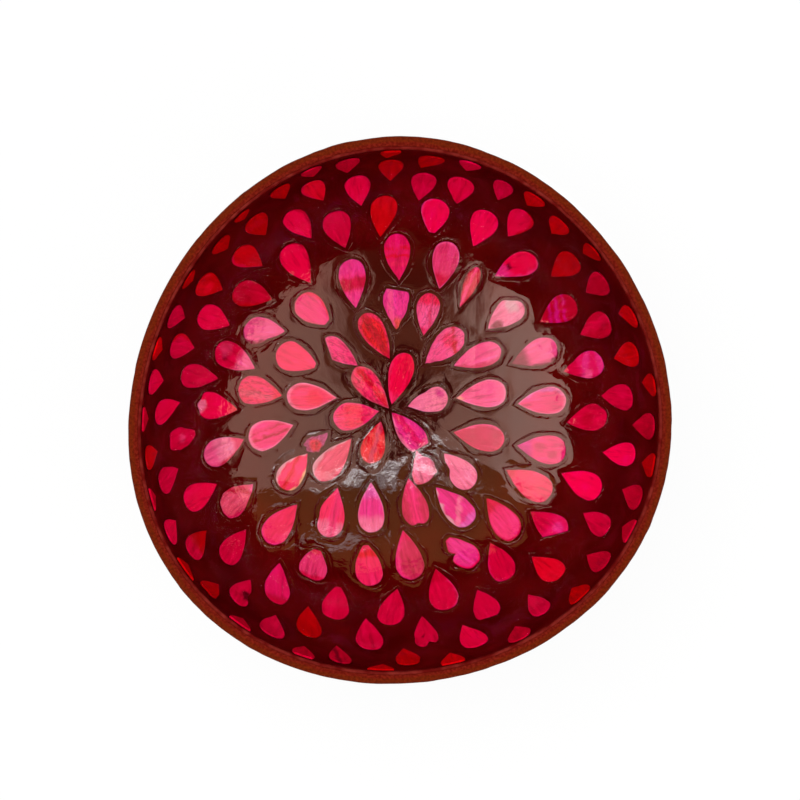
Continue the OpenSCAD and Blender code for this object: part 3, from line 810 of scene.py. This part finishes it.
    def swell(self, p, ripple):
        """How far points p of the coat lie beyond this petal's edge, and how far it swells there."""
        near = np.where(np.linalg.norm(p - self.middle, axis=1) < self.length / 2 + OUT_OF_REACH)[0]
        rel = p[near] - self.middle
        x, y = rel @ self.crossways, rel @ self.lengthways
        way = np.arctan2(self.outline[:, 1], self.outline[:, 0])
        order = np.argsort(way)
        reach = np.interp(np.arctan2(y, x), way[order], np.hypot(*self.outline[order].T),
                          period=2 * math.pi)
        beyond = np.hypot(x, y) - reach
        margin = 0.9 + 0.5 * ripple[near]
        amount, away = np.zeros(len(p)), np.full(len(p), OUT_OF_REACH)
        amount[near] = smooth((margin + 1.4 - beyond) / 1.4)
        away[near] = beyond
        return away, amount


petals = [[Petal(100 * (r + 1) + i, row) for i, row in enumerate(ring)] for r, ring in enumerate(RINGS)]


def lay_petals(name, node, group, pearl):
    """The petals of one CAD node, as one piece that replaces it."""
    points, faces, dye, lay, edge, start = [], [], [], [], [], 0
    for petal in group:
        p, f, d, l, e = petal.mesh()
        points.append(p)
        faces += [tuple(start + i for i in face) for face in f]
        dye.append(d)
        lay.append(l)
        edge.append(e)
        start += len(p)
    obj = make_object(name, np.concatenate(points), faces)
    give_numbers(obj, "dye", "FLOAT_COLOR", np.concatenate(dye))
    give_numbers(obj, "lay", "FLOAT_VECTOR", np.concatenate(lay))
    give_numbers(obj, "to_edge", "FLOAT", np.concatenate(edge))
    obj.data.materials.append(pearl)
    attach(obj, "root")
    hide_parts(node)


def wall_rows(r, deep, bearings):
    return [tuple(float(v) for v in wall(r, deep, b)) for b in bearings]


def shell_rows():
    """The shell's section: along the base, up the outside, over the rim and down the inside."""
    start = math.asin((BASE_R / RIM_R) ** (WALL_POWER / 2))
    stop = bearing_at(OUTER_DEEP, 2 * RIM_EASE)
    rows = [(0.0, 0.0)] + [(BASE_R * t, 0.0) for t in (0.15, 0.35, 0.55, 0.75, 0.9, 0.98)]
    rows.append((BASE_R + 0.1, 0.1))
    rows += wall_rows(RIM_R, OUTER_DEEP, [start + (stop - start) * i / 72 for i in range(1, 73)])
    for i in range(7):
        a = i * math.pi / 12
        rows.append((RIM_R - RIM_EASE + RIM_EASE * math.cos(a),
                     BOWL_H - RIM_EASE + RIM_EASE * math.sin(a)))
    inner_r = RIM_R - WALL_T
    rows += [(inner_r + (RIM_R - RIM_EASE - inner_r) * t, BOWL_H) for t in (0.75, 0.5, 0.25)]
    rows += wall_rows(inner_r, BOWL_H - FLOOR_T, [(1 - i / 48) * math.pi / 2 for i in range(49)])
    rows[-1] = (0.0, rows[-1][1])
    return rows


def lacquer_rows():
    """The lacquer's section: up its back, over the rounded lip and down its front."""
    stop = bearing_at(LACQUER_DEEP, 2 * LIP_ROUND)
    rows = wall_rows(LINING_R, LINING_DEEP, [i / 48 * math.pi / 2 for i in range(49)])
    for i in range(7):
        a = math.pi / 2 + i * math.pi / 12
        rows.append((LACQUER_R + LIP_ROUND + LIP_ROUND * math.cos(a),
                     BOWL_H - LIP_ROUND + LIP_ROUND * math.sin(a)))
    rows += wall_rows(LACQUER_R, LACQUER_DEEP, [stop * (1 - i / 96) for i in range(97)])
    rows[-1] = (0.0, rows[-1][1])
    return rows


def worn_by_hand(points):
    """The sanded outside of the shell is a little uneven, and never outside its true form."""
    waves = Ripples(5, 16.0)(points) * 0.5 + Ripples(6, 5.0)(points) * 0.25
    amount = 0.16 * smooth(0.5 + 0.5 * waves)
    out = np.hypot(points[:, 0] + OFF_MIDDLE[0], points[:, 1] + OFF_MIDDLE[1])
    outside = smooth((out - BASE_R - 1) / 3) * (points[:, 2] < BOWL_H - 0.01)
    below = np.clip((1 - points[:, 2] / BOWL_H), 0, 1)
    mid_wall, _ = wall(RIM_R - WALL_T / 2, BOWL_H, np.arccos(below ** (WALL_POWER / 2)))
    outside = outside * (out > mid_wall)
    pull = amount * outside / np.maximum(out, 1)
    moved = points.copy()
    moved[:, :2] -= (points[:, :2] + OFF_MIDDLE) * pull[:, None]
    return moved


def disc_points(rings, power, top):
    """Bearings and shares of a disc of points, where ring k has 6k of them."""
    a, share = [np.zeros(1)], [np.zeros(1)]
    for k in range(1, rings + 1):
        a.append(np.arange(6 * k) * 2 * math.pi / (6 * k))
        share.append(np.full(6 * k, top * (k / rings) ** power))
    return np.concatenate(a), np.concatenate(share)


def disc_faces(rings, start, upward):
    """Triangles between the rings of disc_points."""
    def at(k, i):
        return start if k == 0 else start + 1 + 3 * k * (k - 1) + i % (6 * k)
    faces = []
    for k in range(rings):
        for q in range(6):
            for j in range(k + 1):
                inner, outer = q * k + j, q * (k + 1) + j
                faces.append((at(k, inner), at(k + 1, outer), at(k + 1, outer + 1)))
                if j < k:
                    faces.append((at(k, inner), at(k + 1, outer + 1), at(k, inner + 1)))
    return faces if upward else [f[::-1] for f in faces]


def make_coat():
    """The clear film, closed by a coarser skin just off the lacquer."""
    rings, under_rings = 175, 35
    top = 2 / math.pi * bearing_at(LACQUER_DEEP, 0.45)
    a, share = disc_points(rings, 1.2, top)
    r, z = wall(LACQUER_R, LACQUER_DEEP, share * math.pi / 2)
    base = bowl_points(r, a, z)
    wander = Ripples(11, 9.0)(base)
    cover, beyond = np.zeros(len(base)), np.full(len(base), OUT_OF_REACH)
    for ring in petals:
        for petal in ring:
            away, swell = petal.swell(base, wander)
            cover = np.maximum(cover, swell)
            beyond = np.minimum(beyond, away)
    film = FILM_T + 0.024 * Ripples(12, 8.0)(base) + 0.006 * Ripples(13, 2.6)(base)
    lift = film + SWELL_T * cover
    lift = lift * smooth((BOWL_H - z - 0.35) / 0.7) + 0.04
    r, z = wall(LACQUER_R - lift, LACQUER_DEEP - lift, share * math.pi / 2)
    upper = bowl_points(r, a, z)
    a2, share2 = disc_points(under_rings, 1.2, top)
    r, z = wall(LACQUER_R - 0.02, LACQUER_DEEP - 0.02, share2 * math.pi / 2)
    under = bowl_points(r, a2, z)
    faces = disc_faces(rings, 0, True) + disc_faces(under_rings, len(upper), False)
    many, few = 6 * rings, 6 * under_rings
    edge, under_edge = len(upper) - many, len(upper) + len(under) - few
    each = many // few
    for i in range(many):
        j = (i + each // 2 + 1) // each % few
        faces.append((edge + (i + 1) % many, edge + i, under_edge + j))
    for j in range(few):
        corner = edge + (j * each + each - each // 2 - 1) % many
        faces.append((corner, under_edge + j, under_edge + (j + 1) % few))
    coat = make_object("clear_coat", np.concatenate([upper, under]), faces)
    give_numbers(coat, "top_side", "FLOAT", np.concatenate([np.ones(len(upper)), np.zeros(len(under))]))
    give_numbers(coat, "beyond", "FLOAT", np.concatenate([beyond, np.full(len(under), OUT_OF_REACH)]))
    return coat


shell = turned("shell", shell_rows(), worn_by_hand)
shell_x, shell_y = (np.array([v.co[:2] for v in shell.data.vertices]) / MM + OFF_MIDDLE).T
from_axis = np.hypot(shell_x, shell_y) / nut(np.arctan2(shell_y, shell_x))
give_numbers(shell, "from_axis", "FLOAT", from_axis)
shell.data.materials.append(shell_finish())
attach(shell, "root")
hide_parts("coconut_shell")

lining = turned("lacquer_lining", lacquer_rows())
lining.data.materials.append(lacquer_finish())
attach(lining, "root")
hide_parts("ground_lacquer")

pearl = pearl_finish()
for r, ring in enumerate(petals):
    slot = "pearl_ring_%d" % (r + 1)
    if r < SINGLE_RINGS:
        for i, petal in enumerate(ring):
            lay_petals("pearl_petal_%d_%d" % (r + 1, i + 1), "ring_%d_petal_%d" % (r + 1, i + 1),
                       [petal], pearl)
    else:
        lay_petals("pearl_petals_%d" % (r + 1), "ring_%d_petals" % (r + 1), ring, pearl)

coat = make_coat()
coat.data.materials.append(coat_finish())
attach(coat, "root")

FLOOR_HALF, FLOOR_Z = 3000.0, -0.2
corners = [(i * FLOOR_HALF, j * FLOOR_HALF, FLOOR_Z) for i, j in ((-1, -1), (1, -1), (1, 1), (-1, 1))]
floor = make_object("floor", corners, [(0, 1, 2, 3)], smooth_shaded=False)
f = material("pale_floor")
mottle = f.noise(f.node("TexCoord", {}, {}, "Object"), 6.0, 3.0)
paint = f.blend(mottle, (0.86, 0.86, 0.86), (0.9, 0.9, 0.9))
plain = f.node("BsdfDiffuse", {}, {"Color": paint})
bright = f.node("Emission", {}, {"Color": (1.0, 1.0, 1.0), "Strength": 1.0})
seen = f.node("LightPath", {}, {}, "Is Camera Ray")
floor.data.materials.append(f.surface(f.node("MixShader", {}, {0: seen * 0.93, 1: plain, 2: bright})))

world = bpy.data.worlds.new("studio")
bpy.context.scene.world = world
w = Finish(world)
x, y, z = w.parts(w.node("TexCoord", {}, {}, "Generated"))
# What the coat mirrors: a broad, warm and bright sky with a pale streak along its edge and
# two pale patches, brown beyond the edge and at the far end, a dark place straight above the
# bowl, and a dimmer horizon
sky = w.blend(w.step(x, 0.3, -0.2), (2.3, 1.25, 0.95), (2.2, 1.2, 0.9))
sky = w.blend(w.step(x, -0.25, -0.6), sky, (3.0, 2.0, 1.65))
sky = w.blend(w.step(y, -0.02, -0.26) * w.step(abs(x), 0.5, 0.15) * 0.92, sky, (0.6, 0.18, 0.07))
sky = w.blend(w.step(y, -0.5, -0.72) * w.step(abs(x), 0.5, 0.25) * 0.85, sky, (0.15, 0.04, 0.02))
beside = x + 0.125
border = y - 0.172 - w.math("MAXIMUM", beside * 0.3, beside * -0.6)
sky = w.blend(w.step(border, -0.01, 0.03), sky, (0.9, 0.36, 0.12))
gleam = w.step(border, 0.13, 0.02) * w.step(border, -0.02, 0.0)
gleam = gleam * w.step(x, -0.3, -0.15) * w.step(x, 0.5, 0.3)
sky = w.blend(gleam * 0.4, sky, (5.5, 5.2, 5.4))
sky = w.blend(gleam * w.step(border, 0.06, 0.03), sky, (8.5, 8.0, 8.0))
near_patch = w.step(abs(x - 0.05), 0.08, 0.02) * w.step(abs(y - 0.35), 0.1, 0.04)
sky = w.blend(near_patch * 0.5, sky, (4.2, 4.1, 4.3))
low_patch = w.step(abs(x - 0.32), 0.26, 0.15) * w.step(abs(y - 0.735), 0.05, 0.02)
sky = w.blend(low_patch * 0.5, sky, (3.6, 3.2, 3.3))
off_spot = ((x * 1.25) ** 2.0 + ((y + 0.07) * 0.8) ** 2.0) ** 0.5
sky = w.blend(w.step(off_spot, 0.24, 0.12), sky, (0.06, 0.03, 0.02))
sky = w.blend(w.step(z - x * 0.15, 0.3, 0.08), sky, (0.7, 0.6, 0.55))
light = w.blend(w.node("LightPath", {}, {}, "Is Glossy Ray"), (0.62, 0.62, 0.62), sky)
light = w.blend(w.node("LightPath", {}, {}, "Is Camera Ray"), light, (1.0, 1.0, 1.0))
w.node("OutputWorld", {}, {"Surface": w.node("Background", {}, {"Color": light, "Strength": 1.0})})


def softbox(name, place, size, energy):
    """A square lamp that is aimed at the middle of the bowl and isn't seen in the gloss."""
    lamp = bpy.data.lights.new(name, "AREA")
    lamp.shape = "SQUARE"
    lamp.size = size
    lamp.energy = energy
    obj = bpy.data.objects.new(name, lamp)
    obj.location = place
    aim = Vector((0.0, 0.0, BOWL_H / 2 * MM))
    obj.rotation_euler = (aim - Vector(place)).to_track_quat("-Z", "Y").to_euler()
    obj.visible_glossy = False
    obj.visible_camera = False
    bpy.context.scene.collection.objects.link(obj)


softbox("overhead_softbox", (-0.25, 0.2, 1.1), 0.8, 9.0)
softbox("side_softbox", (0.8, -0.5, 0.6), 0.6, 2.5)

# The photograph, 800 pixels wide, looks down from 0.6 m, a little from the left and from above
PHOTO_SIDE = 800
CAMERA_AWAY = 0.6
rim_middle = Vector((-OFF_MIDDLE[0] * MM, -OFF_MIDDLE[1] * MM, BOWL_H * MM))
towards = Vector((-0.0445, 0.0473, 1.0)).normalized()
camera = bpy.data.cameras.new("camera")
camera.sensor_width = 36.0
camera.lens = 110.3
camera.shift_x = -0.4 / PHOTO_SIDE
camera.shift_y = 16 / PHOTO_SIDE
camera.clip_start = 0.01
right = (-towards).cross(Vector((0, 1, 0))).normalized()
up = right.cross(-towards)
view = Matrix((right, up, towards)).transposed().to_4x4()
view.translation = rim_middle + towards * CAMERA_AWAY
eye = bpy.data.objects.new("camera", camera)
eye.matrix_world = view
bpy.context.scene.collection.objects.link(eye)
bpy.context.scene.camera = eye
bpy.context.scene.view_settings.view_transform = "Standard"
